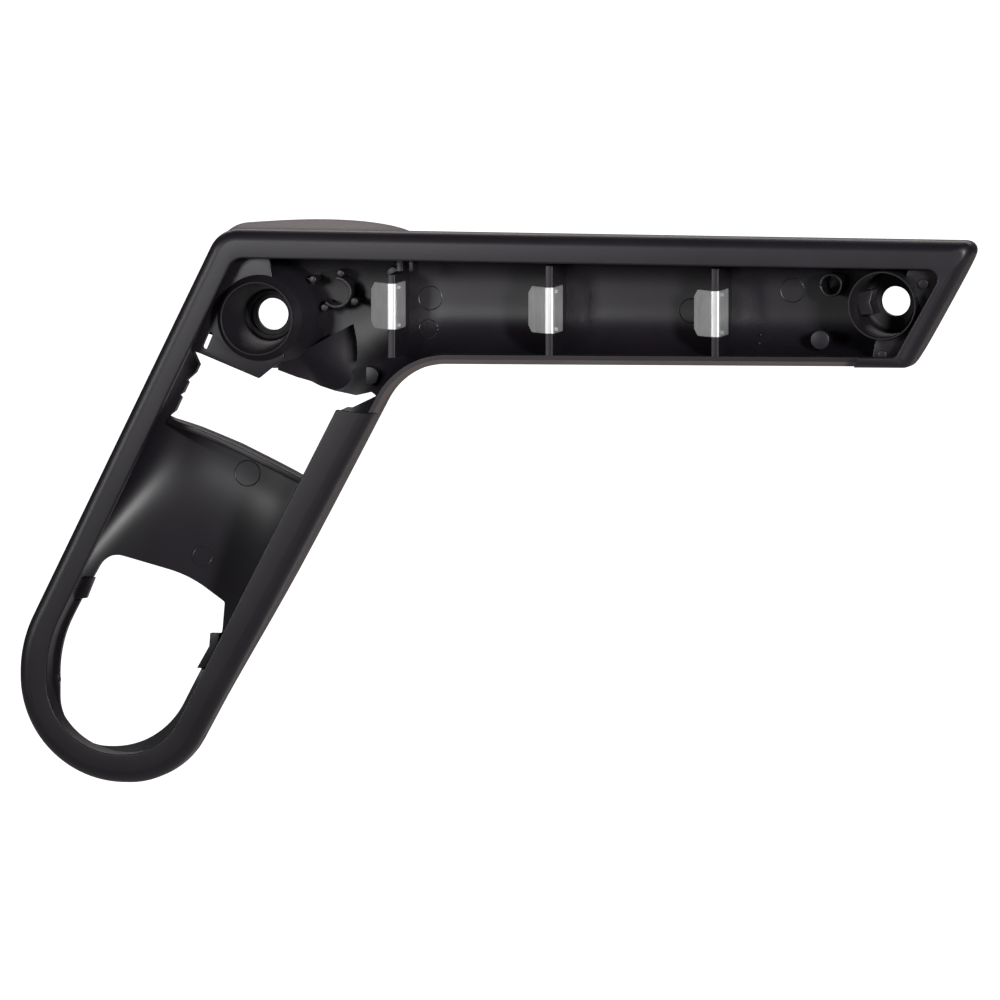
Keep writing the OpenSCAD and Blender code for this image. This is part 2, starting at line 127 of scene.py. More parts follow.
# Corners of a path replaced by arcs of radius r that touch both sides: half is half the corner's angle,
# each arc starts r / tan(half) from the corner, its centre is r / sin(half) away, and the points between
# are (sin((1 - t) w) u + sin(t w) v) / sin(w) for the arms u and v with the angle w between them
def filleted(corners, radii, steps=4, closed=True):
    corners = np.asarray(corners, dtype=float)
    radii = np.broadcast_to(radii, len(corners))
    path = []
    for i, (corner, r) in enumerate(zip(corners, radii)):
        if r <= 0 or (not closed and i in (0, len(corners) - 1)):
            path.append(corner[None])
            continue
        back, ahead = corners[i - 1] - corner, corners[(i + 1) % len(corners)] - corner
        back, ahead = back / np.linalg.norm(back), ahead / np.linalg.norm(ahead)
        half = np.arccos(np.clip(back @ ahead, -1, 1)) / 2
        start, stop = corner + back * r / np.tan(half), corner + ahead * r / np.tan(half)
        centre = corner + (back + ahead) / np.linalg.norm(back + ahead) * r / np.sin(half)
        t = np.linspace(0, 1, steps + 1)[:, None]
        u, v = start - centre, stop - centre
        w = np.arccos(np.clip(u @ v / r ** 2, -1, 1))
        path.append(centre + (np.sin((1 - t) * w) * u + np.sin(t * w) * v) / np.sin(w))
    return np.vstack(path)


# A closed section from corners (u, v, r), each rounded by its own r
def roundedSection(corners, steps):
    corners = np.array(corners, dtype=float)
    return filleted(corners[:, :2], corners[:, 2], steps)


# A closed outline moved inwards by w: a corner whose sides have the normals n1 and n2 moves by
# w (n1 + n2) / (1 + n1 . n2)
def shrunk(line, w):
    sides = np.roll(line, -1, 0) - line
    sides /= np.linalg.norm(sides, axis=1)[:, None]
    normal = np.stack([-sides[:, 1], sides[:, 0]], 1)
    before = np.roll(normal, 1, 0)
    return line + w * (normal + before) / (1 + (normal * before).sum(1))[:, None]


# A flat plate of outline (u, v) from depth near to depth far, its edges rounded by r: the rings are the
# outline moved inwards by r (1 - sin a) at the depth near + r (1 - cos a), and the same from the far side;
# place maps (u, v, w) to (x, d, z)
def plate(line, near, far, r=0.3, steps=3, place=lambda u, v, w: (u, w, v)):
    line = np.asarray(line, dtype=float)
    area = np.sum(line[:, 0] * np.roll(line[:, 1], -1) - line[:, 1] * np.roll(line[:, 0], -1))
    if area < 0:
        line = line[::-1]
    a = np.linspace(0, np.pi / 2, steps + 1) if r > 0 else np.array([np.pi / 2])
    inward, down = r * (1 - np.sin(a)), r * (1 - np.cos(a))
    rings = []
    for w, level in zip([*inward, *inward[::-1]], [*(near + down), *(far - down)[::-1]]):
        ring = shrunk(line, w) if w > tiny else line
        rings.append(np.stack(place(ring[:, 0], ring[:, 1], np.full(len(ring), level)), -1))
    return tube(np.array(rings))


# Points on a circle: x + r cos a, z + r sin a
def disc(x, z, r, steps=fineness["disc"]):
    a = np.linspace(0, 2 * np.pi, steps, endpoint=False)
    return np.stack([x + r * np.cos(a), z + r * np.sin(a)], -1)


# A round post: a disc of radius r carried from depth top to depth foot, with rounded edges
def post(x, z, r, top, foot, edge=0.3):
    return plate(disc(x, z, r, fineness["post"]), top, foot, edge)


# A rectangular block between two corners (x0, z0) and (x1, z1), from depth top to depth foot
def box(x0, x1, z0, z1, top, foot, edge):
    return plate([(x0, z0), (x1, z0), (x1, z1), (x0, z1)], top, foot, edge)


# Takes each cutter's volume away from a piece, one after another, and keeps the result as its mesh
def carve(piece, cutters):
    for cutter in cutters:
        tool = makePiece("cutter", [cutter], piece.data.materials[0])
        cut = piece.modifiers.new("cut", "BOOLEAN")
        cut.operation, cut.solver, cut.object = "DIFFERENCE", "EXACT", tool
        graph = bpy.context.evaluated_depsgraph_get()
        mesh = bpy.data.meshes.new_from_object(piece.evaluated_get(graph))
        piece.modifiers.clear()
        piece.data = mesh
        bpy.data.objects.remove(tool)
    shadeSmooth(piece.data, sharpAngle)


# Outline and band seen from the door: places of the straight edges, their lean in degrees, and the arcs
trim = dict(
    topZ=28.0, topLean=0.32, underZ=13.7, underLean=0.35, leftX=25.3, leftLean=26.1,
    rightX=53.5, rightLean=28.4, endX=213.6, endLean=29.3, loopLeft=75.2, loopBottom=145.4,
    tipR=3.0, cornerR=10.0, entryR=40.0, loopR=33.0, heelR=26.0, insideR=22.5, footR=3.0, leastR=1.0,
    topBand=9.0, endBand=5.2, leftBand=8.5, loopBand=9.1, footBand=3.4, armBand=13.2, armBandLean=27.2,
    bandR=(3.0, 5.0, 40.0, 23.0, 20.0, 22.0, 2.0), arcSteps=(10, 16, 14, 40, 40, 24, 10),
)
arcNames = ("tipR", "cornerR", "entryR", "loopR", "heelR", "insideR", "footR")


# A point (x, z) in the door plane
def at(x, z):
    return np.array([x, z], dtype=float)


# Unit heading: (cos, sin) of an angle in degrees from +x
def direction(degrees):
    return np.array([math.cos(math.radians(degrees)), math.sin(math.radians(degrees))])


# Heading that runs upwards and leans to the right by an angle in degrees
def leaning(lean):
    return direction(90 - lean)


# An edge, as a point and a heading, moved to its left by w
def inset(edge, w):
    return edge[0] + w * np.array([-edge[1][1], edge[1][0]]), edge[1]


# Cross product of two flat vectors: a0 b1 - a1 b0
def cross2(a, b):
    return a[0] * b[1] - a[1] * b[0]


# Where edge a meets edge b: a's point + ((b's point - a's point) x b's heading) / (a's x b's heading)
# times a's heading
def meet(a, b):
    return a[0] + cross2(b[0] - a[0], b[1]) / cross2(a[1], b[1]) * a[1]


# Angles along an arc between two edges: equal shares of the turn from one heading to the next
def arcAngles(a, b, steps):
    turn = math.atan2(cross2(a[1], b[1]), a[1] @ b[1])
    return turn * np.linspace(0, 1, steps + 1)[:, None]


# A vector turned by each angle t: (v0 cos t - v1 sin t, v0 sin t + v1 cos t)
def turnedBy(v, t):
    return np.hstack([v[0] * np.cos(t) - v[1] * np.sin(t), v[0] * np.sin(t) + v[1] * np.cos(t)])


# Arc of radius r between two edges: it starts r tan(turn / 2) before they meet, and is its centre
# + the arm from centre to start, turned by each angle
def cornerArc(a, b, r, steps):
    angles = arcAngles(a, b, steps)
    turn = angles[-1, 0]
    start = meet(a, b) - r * math.tan(abs(turn) / 2) * a[1]
    centre = start + math.copysign(r, turn) * np.array([-a[1][1], a[1][0]])
    return centre + turnedBy(start - centre, angles)


# One arc between each edge and the next, round a closed outline
def rounded(sides, radii, steps):
    n = len(sides)
    return [cornerArc(sides[i], sides[(i + 1) % n], radii[i], steps[i]) for i in range(n)]


# Edges run anticlockwise: slanted end, top, arm's left, loop's left and bottom, arm's right, underside
edges = [
    (at(trim["endX"], 0), leaning(trim["endLean"])),
    (at(0, trim["topZ"]), direction(180 - trim["topLean"])),
    (at(-trim["leftX"], 0), -leaning(trim["leftLean"])),
    (at(-trim["loopLeft"], 0), at(0, -1)),
    (at(0, -trim["loopBottom"]), at(1, 0)),
    (at(trim["rightX"], 0), leaning(trim["rightLean"])),
    (at(trim["rightX"], -trim["underZ"]), direction(trim["underLean"])),
]
bandEdges = [
    inset(edges[0], trim["endBand"]), inset(edges[1], trim["topBand"]), inset(edges[2], trim["leftBand"]),
    inset(edges[3], trim["loopBand"]), inset(edges[4], trim["loopBand"]),
    (at(trim["rightX"] - trim["armBand"], 0), leaning(trim["armBandLean"])),
    inset(edges[6], trim["footBand"]),
]


# The outline moved inwards by w: convex arcs lose w of radius, the inside corner gains it
def outlineArcs(w=0.0):
    moved = [inset(edge, w) for edge in edges]
    radii = [trim[k] + w if k == "insideR" else max(trim[k] - w, trim["leastR"]) for k in arcNames]
    return rounded(moved, radii, trim["arcSteps"])


outline = outlineArcs()
band = rounded(bandEdges, trim["bandR"], trim["arcSteps"])


# Sets a node's sockets by name: a wire is linked, a plain value is set
def feed(node, inputs):
    for key, value in inputs.items():
        if isinstance(value, Wire):
            value.tree.links.new(value.socket, node.inputs[key])
        else:
            node.inputs[key].default_value = value


# One wire of a node tree: operators add Math nodes, also with a plain number on either side, and node()
# adds any other node
class Wire:
    # Keeps the node tree and an output socket in it
    def __init__(self, tree, socket=None):
        self.tree, self.socket = tree, socket

    # Adds a node of a kind, with its settings first and then its sockets, and returns one of its outputs
    def node(self, kind, settings=None, inputs=None, out=0):
        made = self.tree.nodes.new(kind)
        for key, value in (settings or {}).items():
            setattr(made, key, value)
        feed(made, inputs or {})
        return Wire(self.tree, made.outputs[out])

    # One Math node: a operation b
    def math(self, operation, a, b):
        return self.node("ShaderNodeMath", {"operation": operation}, {0: a, 1: b})

    # self + other
    def __add__(self, other):
        return self.math("ADD", self, other)

    # other + self
    def __radd__(self, other):
        return self.math("ADD", other, self)

    # self - other
    def __sub__(self, other):
        return self.math("SUBTRACT", self, other)

    # other - self
    def __rsub__(self, other):
        return self.math("SUBTRACT", other, self)

    # self * other
    def __mul__(self, other):
        return self.math("MULTIPLY", self, other)

    # other * self
    def __rmul__(self, other):
        return self.math("MULTIPLY", other, self)

    # (self - low) / (high - low), held between 0 and 1
    def between(self, low, high):
        inputs = {"Value": self, "From Min": low, "From Max": high}
        return self.node("ShaderNodeMapRange", {"clamp": True}, inputs)

    # (1 - self) * a + self * b, for colours; output 2 is the mixed colour
    def mixColours(self, a, b):
        return self.node("ShaderNodeMix", {"data_type": "RGBA"}, {"Factor": self, "A": a, "B": b}, out=2)


# A new material: returns it, its shader node and a wire with Object coordinates, output 3 of its node
def newMaterial(name):
    material = bpy.data.materials.new(name)
    material.use_nodes = True
    tree = material.node_tree
    place = Wire(tree).node("ShaderNodeTexCoord", out=3)
    return material, tree.nodes["Principled BSDF"], place


# Noise of a scale at each place, after the place is multiplied by stretch
def noise(place, scale, detail=2.0, rough=0.5, stretch=None):
    if stretch:
        place = place.node("ShaderNodeMapping", None, {"Vector": place, "Scale": stretch})
    inputs = {"Vector": place, "Scale": scale, "Detail": detail, "Roughness": rough}
    return place.node("ShaderNodeTexNoise", None, inputs)


# A normal that is tilted by the slope of strength * height * wire, with the height in metres
def bump(wire, height, strength):
    return wire.node("ShaderNodeBump", None, {"Strength": strength, "Distance": height, "Height": wire})


plasticFinish = dict(
    dark=(0.0115, 0.0090, 0.0132, 1), light=(0.0165, 0.0130, 0.0190, 1),
    roughness=0.42, roughnessSwing=0.10,
    patchScale=38.0, patchDetail=4.0, patchRough=0.6, patchRange=(0.3, 0.7),
    grainScale=2600.0, grainSoft=0.6, grainShare=0.7, grainHeight=0.00004, grainStrength=0.35,
    fineTimes=2.2, fineDetail=2.0, fineRough=0.6,
)
handFinish = dict(plasticFinish, dark=(0.058, 0.044, 0.040, 1), light=(0.078, 0.061, 0.056, 1),
                  roughness=0.5)
cupFinish = dict(plasticFinish, roughness=0.58)
innerFinish = dict(plasticFinish, roughness=0.38, grainHeight=0.00002, patchScale=24.0)


# Moulded plastic: colour = mix(dark, light, patches), roughness = base + swing * (patches - 0.5),
# normal = bump of share * pebbles + (1 - share) * fine noise
def mouldedPlastic(name, finish):
    material, shader, place = newMaterial(name)
    patches = noise(place, finish["patchScale"], finish["patchDetail"], finish["patchRough"])
    inputs = {"Vector": place, "Scale": finish["grainScale"], "Smoothness": finish["grainSoft"]}
    pebbles = place.node("ShaderNodeTexVoronoi", {"feature": "SMOOTH_F1"}, inputs)
    fineScale = finish["grainScale"] * finish["fineTimes"]
    fine = noise(place, fineScale, finish["fineDetail"], finish["fineRough"])
    grain = finish["grainShare"] * pebbles + (1 - finish["grainShare"]) * fine
    feed(shader, {
        "Base Color": patches.between(*finish["patchRange"]).mixColours(finish["dark"], finish["light"]),
        "Roughness": finish["roughness"] + finish["roughnessSwing"] * (patches - 0.5),
        "Normal": bump(grain, finish["grainHeight"], finish["grainStrength"]),
    })
    return material


steelFinish = dict(
    dark=(0.74, 0.75, 0.76, 1), light=(0.93, 0.93, 0.93, 1), roughness=0.36, roughnessSwing=0.12, metal=0.6,
    streakScale=900.0, streakStretch=(1.0, 1.0, 0.06), streakShare=0.6, streakHeight=0.00002,
    streakStrength=0.3, cloudScale=160.0, detail=3.0, rough=0.6, toneRange=(0.35, 0.65),
)


# Zinc plated spring steel: colour = mix(dark, light, share * streaks + (1 - share) * clouds),
# roughness = base + swing * (clouds - 0.5), normal = a shallow bump of the streaks, along the fold
def platedSteel(name, finish):
    material, shader, place = newMaterial(name)
    streaks = noise(place, finish["streakScale"], finish["detail"], finish["rough"],
                    finish["streakStretch"])
    clouds = noise(place, finish["cloudScale"], finish["detail"], finish["rough"])
    tone = finish["streakShare"] * streaks + (1 - finish["streakShare"]) * clouds
    feed(shader, {
        "Base Color": tone.between(*finish["toneRange"]).mixColours(finish["dark"], finish["light"]),
        "Roughness": finish["roughness"] + finish["roughnessSwing"] * (clouds - 0.5),
        "Metallic": finish["metal"],
        "Normal": bump(streaks, finish["streakHeight"], finish["streakStrength"]),
    })
    return material


outerPlastic = mouldedPlastic("outerPlastic", plasticFinish)
handPlastic = mouldedPlastic("handPlastic", handFinish)
cupPlastic = mouldedPlastic("cupPlastic", cupFinish)
innerPlastic = mouldedPlastic("innerPlastic", innerFinish)
springSteel = platedSteel("springSteel", steelFinish)
print("scene: finishes made")


shell = dict(
    wall=2.8, skin=2.6, barDepth=35.0, loopDepth=14.5,
    barSquare=3.4, loopSquare=5.0,                # powers of the arch: a higher one is squarer
    swell=5.5, swellLead=0.75, swellPower=0.8,    # the bulge over the corner
    upperFall=0.08, flank=0.6, bowPower=1.6, fallStart=0.42, endPower=2.2, loopPower=3,
    endRuns=(30.0, 17.0), cornerLead=51.0, cornerTail=12.0, loopLead=13.0, loopGap=3.0,
    zoneSteps=(24, 24, 60, 60, 48), archSteps=56,
    sampleHalf=20.0, sampleRise=26.0, samples=4001,    # the arch whose stations are evenly spaced
    cutOff=40.0,
)
atEnd, atBar, atCorner, atArm, atLoop = range(5)       # zones along the shell, as in zoneSteps


# Lengths along a chain of points, starting at nought
def lengths(chain):
    return np.concatenate([[0], np.cumsum(np.linalg.norm(np.diff(chain, axis=0), axis=1))])


# Zone and share of each station along the shell: shares f are even, but 1 - cos(f * 90 degrees) at the
# slanted end and sin(f * 90 degrees) at the loop, so that stations lie closer where the shell rounds off
def stationMarks():
    zone, share = [], []
    for k, steps in enumerate(shell["zoneSteps"]):
        f = np.linspace(0, 1, steps + 1)[(0 if k == atEnd else 1):]
        if k == atEnd:
            f = 1 - np.cos(f * np.pi / 2)
        elif k == atLoop:
            f = np.sin(f * np.pi / 2)
        zone.append(np.full(len(f), k))
        share.append(f)
    return np.concatenate(zone), np.concatenate(share)


# Points on a chain of arcs at the stations: knot + (next knot - knot) * share. The upper side runs from the
# slanted end over the corner to the loop, the lower side past the inside corner to the loop
def placed(arcs, upper):
    order = arcs[:4] if upper else [arcs[6][::-1], arcs[5][::-1], arcs[4][::-1]]
    chain = np.vstack(order)
    run = lengths(chain)
    last = np.cumsum([len(arc) for arc in order]) - 1   # index of each arc's last point
    knots = np.array([0, shell["endRuns"][0 if upper else 1], run[last[0] + 1], run[last[1]],
                      run[last[1] + 1], run[-1] - shell["loopGap"]])
    if upper:
        knots[2] -= shell["cornerLead"]
        knots[3] += shell["cornerTail"]
    else:
        knots[4] -= shell["loopLead"]
    zone, share = stationMarks()
    s = knots[zone] + (knots[zone + 1] - knots[zone]) * share
    return np.stack([np.interp(s, run, chain[:, 0]), np.interp(s, run, chain[:, 1])], -1)


# An end rounds off as (1 - (1 - f)^n)^(1/n)
def roundEnd(f, n):
    return np.clip(1 - np.clip(1 - f, 0, 1) ** n, 0, 1) ** (1 / n)


# The arm falls from bar to loop by g * g * (3 - 2 g), where g = (f - start) / (1 - start)
def armShare(f):
    g = np.clip((f - shell["fallStart"]) / (1 - shell["fallStart"]), 0, 1)
    return g * g * (3 - 2 * g)


# Angles of the arch that lie evenly along the bar's own section
def archAngles():
    a = np.linspace(0, np.pi, shell["samples"])
    c, s = np.cos(a), np.sin(a)
    power = 2 / shell["barSquare"]
    x = -np.sign(c) * np.abs(c) ** power * shell["sampleHalf"]
    y = np.clip(s, 0, 1) ** power * shell["sampleRise"]
    run = lengths(np.stack([x, y], -1))
    return np.interp(np.linspace(0, run[-1], shell["archSteps"] + 1), run, a)


# Arched rows: across = (1 - sign(cos a) |cos a|^(2/n)) / 2, up = sin(a)^(2/n), bow = sin(180 up^bowPower);
# the upper side is pushed out by swell * bow - fall * rise * up * cos(a)^(2/n), the lower by flank * bow
def archRows(p, q, rise, square, swell, fall, flank):
    a = archAngles()[None]
    c, s = np.cos(a), np.clip(np.sin(a), 0, 1)
    power = 2 / square[:, None]
    across = (1 - np.sign(c) * np.abs(c) ** power) / 2
    up = s ** power
    bow = np.sin(np.pi * up ** shell["bowPower"])
    lean = fall[:, None] * rise[:, None] * up * np.abs(c) ** power
    push = np.where(c > 0, swell[:, None] * bow - lean, -flank[:, None] * bow)
    out = (p - q) / np.linalg.norm(p - q, axis=1)[:, None]
    flat = p[:, None] + (q - p)[:, None] * across[..., None] + push[..., None] * out[:, None]
    return np.stack([flat[..., 0], seamDepth + rise[:, None] * up, flat[..., 1]], -1)


# A skin of the shell as a grid of rows, from the outline moved inwards by w, with its rise above the seam
# at the bar and at the loop; rise, squareness and fall ease from one to the other by the arm's share
def skinRows(w, barRise, loopRise):
    arcs = outlineArcs(w)
    zone, share = stationMarks()
    even, arm = 0 * share, armShare(share)
    beforeArm, onArm = zone < atArm, zone == atArm
    endRise = barRise * roundEnd(share, shell["endPower"])
    rise = np.select([zone == atEnd, beforeArm, onArm],
                     [endRise, barRise + even, barRise + (loopRise - barRise) * arm],
                     loopRise * roundEnd(1 - share, shell["loopPower"]))
    bar, loop = shell["barSquare"], shell["loopSquare"]
    square = np.select([beforeArm, onArm], [bar + even, bar + (loop - bar) * arm], loop)
    bulge = np.sin(np.pi * share ** shell["swellLead"]).clip(0, 1) ** shell["swellPower"]
    swell = np.where(zone == atCorner, shell["swell"] * bulge, 0)
    fall = shell["upperFall"] * np.select([beforeArm, onArm], [1 + even, 1 - arm], 0)
    flank = np.where(onArm, shell["flank"] * np.sin(np.pi * share), 0)
    return archRows(placed(arcs, True), placed(arcs, False), rise, square, swell, fall, flank)


# Closed solid between an outer and an inner grid: both grids' quads, and quads between their borders
def shellSolid(outer, inner):
    n, m = outer.shape[:2]
    count = n * m
    faces = ringFaces(n, m, closed=False)
    faces += [[count + i for i in face[::-1]] for face in faces]
    border = list(range(m)) + [i * m + m - 1 for i in range(1, n)]
    border += [(n - 1) * m + j for j in range(m - 2, -1, -1)] + [i * m for i in range(n - 2, 0, -1)]
    following = border[1:] + border[:1]
    faces += [[a, b, count + b, count + a] for a, b in zip(border, following)]
    return np.vstack([outer.reshape(-1, 3), inner.reshape(-1, 3)]), faces


# The lever's window in the corner of the shell, read from the photo
leverWindow = dict(
    line=((-23, -5), (-9, -10.5), (-4, -13.2), (-0.5, -16.4), (2.6, -16.4), (8.4, -19.4), (14.7, -22.5),
          (19.5, -24), (26.5, -25.2), (31.9, -23.9), (33.9, -24.9), (24.9, -29.1), (23.3, -29.0),
          (20.7, -30.2), (19.5, -33), (12, -52), (2, -47.1), (-10.7, -41), (-23.5, -35.8),
          (-31.1, -33.1), (-32.7, -32.2), (-30.8, -30.6), (-28.9, -26.5), (-29.4, -25.6), (-28.2, -24.9),
          (-26.7, -21.8), (-27.0, -21.0), (-24.4, -18.6), (-23.2, -16.1), (-24.1, -13.3), (-25, -10)),
    cutFrom=12.0,
)

# The loop's opening: a ledge inside the band, and the slanting lower edge of the arm's sheet
loopOpening = dict(
    ledge=1.4, heelLedge=3.0, uprightPoint=(-13.4, -92.0), sheetPoint=(-25.0, -81.6),
    sheetHeadings=(145, 164), radii=(4, 1, 40, 6, 40, 15.5, 26), steps=(4, 4, 8, 8, 10, 20, 24),
    cutFrom=4.0,
)
openingEdges = [
    (at(trim["rightX"] - trim["armBand"] - loopOpening["heelLedge"], 0), leaning(trim["armBandLean"])),
    (at(*loopOpening["uprightPoint"]), at(0, 1)),
    *[(at(*loopOpening["sheetPoint"]), direction(heading)) for heading in loopOpening["sheetHeadings"]],
    inset(edges[2], trim["leftBand"] + loopOpening["ledge"]),
    inset(edges[3], trim["loopBand"] + loopOpening["ledge"]),
    inset(edges[4], trim["loopBand"] + loopOpening["ledge"]),
]
openingLine = np.vstack(rounded(openingEdges, loopOpening["radii"], loopOpening["steps"]))

# Screw cups: each has its place, inner radius, hole, the widening of its outer side, the narrowing of its
# bore and the step round its hole; flank rows are (share of the widening, depth below the lip, rounding)
cornerCup = dict(x=0.0, z=0.0, r=11.0, hole=5.0, flare=5.5, cone=3.0, stepDepth=2.5)
farCup = dict(x=197.5, z=6.3, r=10.1, hole=4.6, flare=0.7, cone=0.4, stepDepth=0.0)
cupPair = (cornerCup, farCup)
cupForm = dict(
    top=4.0, floor=3.0, wall=0.6, stepR=6.6, headR=8.5,
    flank=((0.85, 16.0, 6.0), (0.35, 5.0, 8.0), (0.0, 1.2, 0.6)),
    holeEdge=0.25, lipEdge=0.4, stepEdge=0.3, stepRoot=1.2, floorRoot=1.6, arcSteps=5,
    overlap=0.02, cutFrom=28.0,
)


# What is cut out of the shell: the two openings, and for each cup a recess on the hand side and a hole
def shellCuts():
    recess, hole = seatDepth + cupForm["floor"] - cupForm["overlap"], cupForm["cutFrom"]
    return [
        plate(leverWindow["line"], leverWindow["cutFrom"], throughCut, 0),
        plate(openingLine, loopOpening["cutFrom"], throughCut, 0),
        *[plate(disc(cup["x"], cup["z"], cupForm["headR"]), recess, throughCut, 0) for cup in cupPair],
        *[plate(disc(cup["x"], cup["z"], cup["hole"]), hole, throughCut, 0) for cup in cupPair],
    ]


outerRows = skinRows(0.0, shell["barDepth"] - seamDepth, shell["loopDepth"] - seamDepth)
innerRows = skinRows(shell["wall"], shell["barDepth"] - shell["skin"] - seamDepth,
                     shell["loopDepth"] - shell["skin"] - seamDepth)
middleRows = 0.5 * outerRows + 0.5 * innerRows
handSkin = makePiece("handSkin", [shellSolid(outerRows, middleRows)], handPlastic)
carve(handSkin, shellCuts())
channelSkin = makePiece("channelSkin", [shellSolid(middleRows, innerRows)], innerPlastic)
carve(channelSkin, shellCuts())
print("scene: shell made,", len(handSkin.data.polygons) + len(channelSkin.data.polygons), "faces")


# A cup: lip, wall and floor with its screw hole, as one section (r, d) turned round the screw's axis;
# the bore narrows by cone towards the floor, and the outer side widens by flare below the lip
def cupSection(cup):
    form, seat, top = cupForm, seatDepth, cupForm["top"]
    out, bore = cup["r"] + form["wall"], cup["r"] - cup["cone"]
    corners = [
        (cup["hole"], seat, form["holeEdge"]), (cup["hole"], seat + form["floor"], form["holeEdge"]),
        (out + cup["flare"], seat + form["floor"], 0),
        *[(out + share * cup["flare"], top + below, r) for share, below, r in form["flank"]],
        (out, top, form["lipEdge"]), (cup["r"], top, form["lipEdge"]),
    ]
    if cup["stepDepth"]:
        step = seat - cup["stepDepth"]
        corners += [(bore, step, form["stepRoot"]), (form["stepR"], step, form["stepEdge"]),
                    (form["stepR"], seat, form["stepEdge"])]
    else:
        corners += [(bore, seat, form["floorRoot"])]
    return roundedSection(corners, form["arcSteps"])


cups = makePiece("screwCups", [turned(cupSection(cup), cup["x"], cup["z"]) for cup in cupPair], cupPlastic)

# Cross ribs: place, lower and upper end of each edge; left of armSide a rib ends freely above the arm
ribs = dict(
    x=(41.8, 91.7, 144.1), foot=(-12.0, -11.2, -11.2), top=(13.8, 17.2, 16.8), t=2.4, clipSide=2.2,
    edge=9.5, fall=13.0, slant=0.5, gap=0.4, upperFrom=5.0, armSide=50.0, armLow=-20.0, apart=0.6,
    round=0.35,
)


# A web across the channel: the arch's section at x, cut off at the rib's edge between foot and top;
# above its top the edge falls away, points closer than apart are left out, and all edges are rounded
def crossRib(x, foot, top):
    free = x < ribs["armSide"]
    lean = math.tan(math.radians(trim["underLean"]))
    low = ribs["armLow"] if free else -trim["underZ"] + (x - trim["rightX"]) * lean
    half = shell["wall"] / 2
    rise = shell["barDepth"] - shell["skin"] / 2 - seamDepth
    one = np.ones(1)
    web = archRows(np.array([[x, trim["topZ"] - half]]), np.array([[x, low + half]]), rise * one,
                   shell["barSquare"] * one, 0 * one, shell["upperFall"] * one, 0 * one)[0]
    d, z = web[:, 1], np.maximum(web[:, 2], foot if free else ribs["armLow"])
    edge, deep = ribs["edge"], ribs["edge"] + ribs["fall"]
    kept = np.where(z > ribs["upperFrom"], d > deep, d > edge + ribs["gap"])
    line = np.vstack([np.stack([d, z], -1)[kept], [(edge, foot), (edge, top), (deep, top + ribs["slant"])]])
    keep = np.concatenate([[True], np.hypot(*np.diff(line, axis=0).T) > ribs["apart"]])
    return plate(line[keep], x - ribs["t"] / 2, x + ribs["t"] / 2, ribs["round"],
                 place=lambda u, v, w: (w, u, v))


ribShells = [crossRib(*rib) for rib in zip(ribs["x"], ribs["foot"], ribs["top"])]
crossRibs = makePiece("crossRibs", ribShells, innerPlastic)

# Platform beside the corner cup, with a slot near the arm's left edge
platformForm = dict(
    line=((-12.4, 23), (-8, 26.2), (2, 26.2), (8, -12.6), (4.1, -15.3), (-0.3, -18.9), (-18.8, -11.4),
          (-27.6, -8.6)),
    radii=(1, 2, 1, 1, 0.5, 0.4, 0.4, 1), arcSteps=3, top=9.0, t=2.4, cupGap=0.5, cutTo=20.0,
    slotEnds=((-15.7, -5.2), (-17.4, -9.2)), slotR=0.8, slotFrom=4.0,
)


# Outline of a slot: half circles of radius r round both ends, a + side cos t - along sin t and
# b - side cos t + along sin t
def slotLine(ends, r):
    a, b = (np.array(end) for end in ends)
    along = r * (b - a) / np.linalg.norm(b - a)
    side = np.array([-along[1], along[0]])
    t = np.linspace(0, np.pi, fineness["slotEnd"])[:, None]
    return np.vstack([a + side * np.cos(t) - along * np.sin(t), b - side * np.cos(t) + along * np.sin(t)])


platformLine = filleted(platformForm["line"], platformForm["radii"], platformForm["arcSteps"])
platformShell = plate(platformLine, platformForm["top"], platformForm["top"] + platformForm["t"])
platform = makePiece("cornerPlatform", [platformShell], innerPlastic)
roomForCup = disc(cornerCup["x"], cornerCup["z"], cornerCup["r"] + platformForm["cupGap"])
slot = slotLine(platformForm["slotEnds"], platformForm["slotR"])
carve(platform, [plate(roomForCup, 0, platformForm["cutTo"], 0),
                 plate(slot, platformForm["slotFrom"], platformForm["cutTo"], 0)])

# Rib along the lower edge of the lever's window: a strip that is offset down the arm
windowForm = dict(run=((14, -53), (2, -47.1), (-10.7, -41), (-23.5, -35.8), (-32.5, -32.6)), wide=2.0,
                  top=25.5, foot=31.5)
armLean = (trim["leftLean"] + trim["rightLean"]) / 2
windowTop = np.array(windowForm["run"], dtype=float)
windowLow = windowTop - windowForm["wide"] * leaning(armLean)
windowLine = np.vstack([windowTop, windowLow[::-1]])
windowRib = makePiece("windowRib", [plate(windowLine, windowForm["top"], windowForm["foot"])], innerPlastic)

# Fit to the channel's floor; right of barFrom the stations lie far apart, so that distances along x count
# by barFactor there
floorFit = dict(nearest=8, soften=0.05, steady=1e-6, barFrom=30.0, barFactor=0.06, samples=12)


# Depth of the channel's floor at points (x, z): a plane a + b dx + c dz fitted to the nearest points of the
# inner grid, each weighted by 1 / (squared distance + soften)
def floorDepth(x, z):
    grid = innerRows.reshape(-1, 3)
    along = floorFit["barFactor"] if x.mean() > floorFit["barFrom"] else 1.0
    away = (along * (grid[None, :, 0] - x[:, None])) ** 2 + (grid[None, :, 2] - z[:, None]) ** 2
    near = np.argpartition(away, floorFit["nearest"], axis=1)[:, :floorFit["nearest"]]
    weight = 1 / (np.take_along_axis(away, near, 1) + floorFit["soften"])
    terms = np.stack([np.ones(near.shape), grid[near, 0] - x[:, None], grid[near, 2] - z[:, None]], -1)
    left = np.einsum("kni,kn,knj->kij", terms, weight, terms) + floorFit["steady"] * np.eye(3)
    right = np.einsum("kni,kn,kn->ki", terms, weight, grid[near, 1])
    return np.linalg.solve(left, right[..., None])[:, 0, 0]


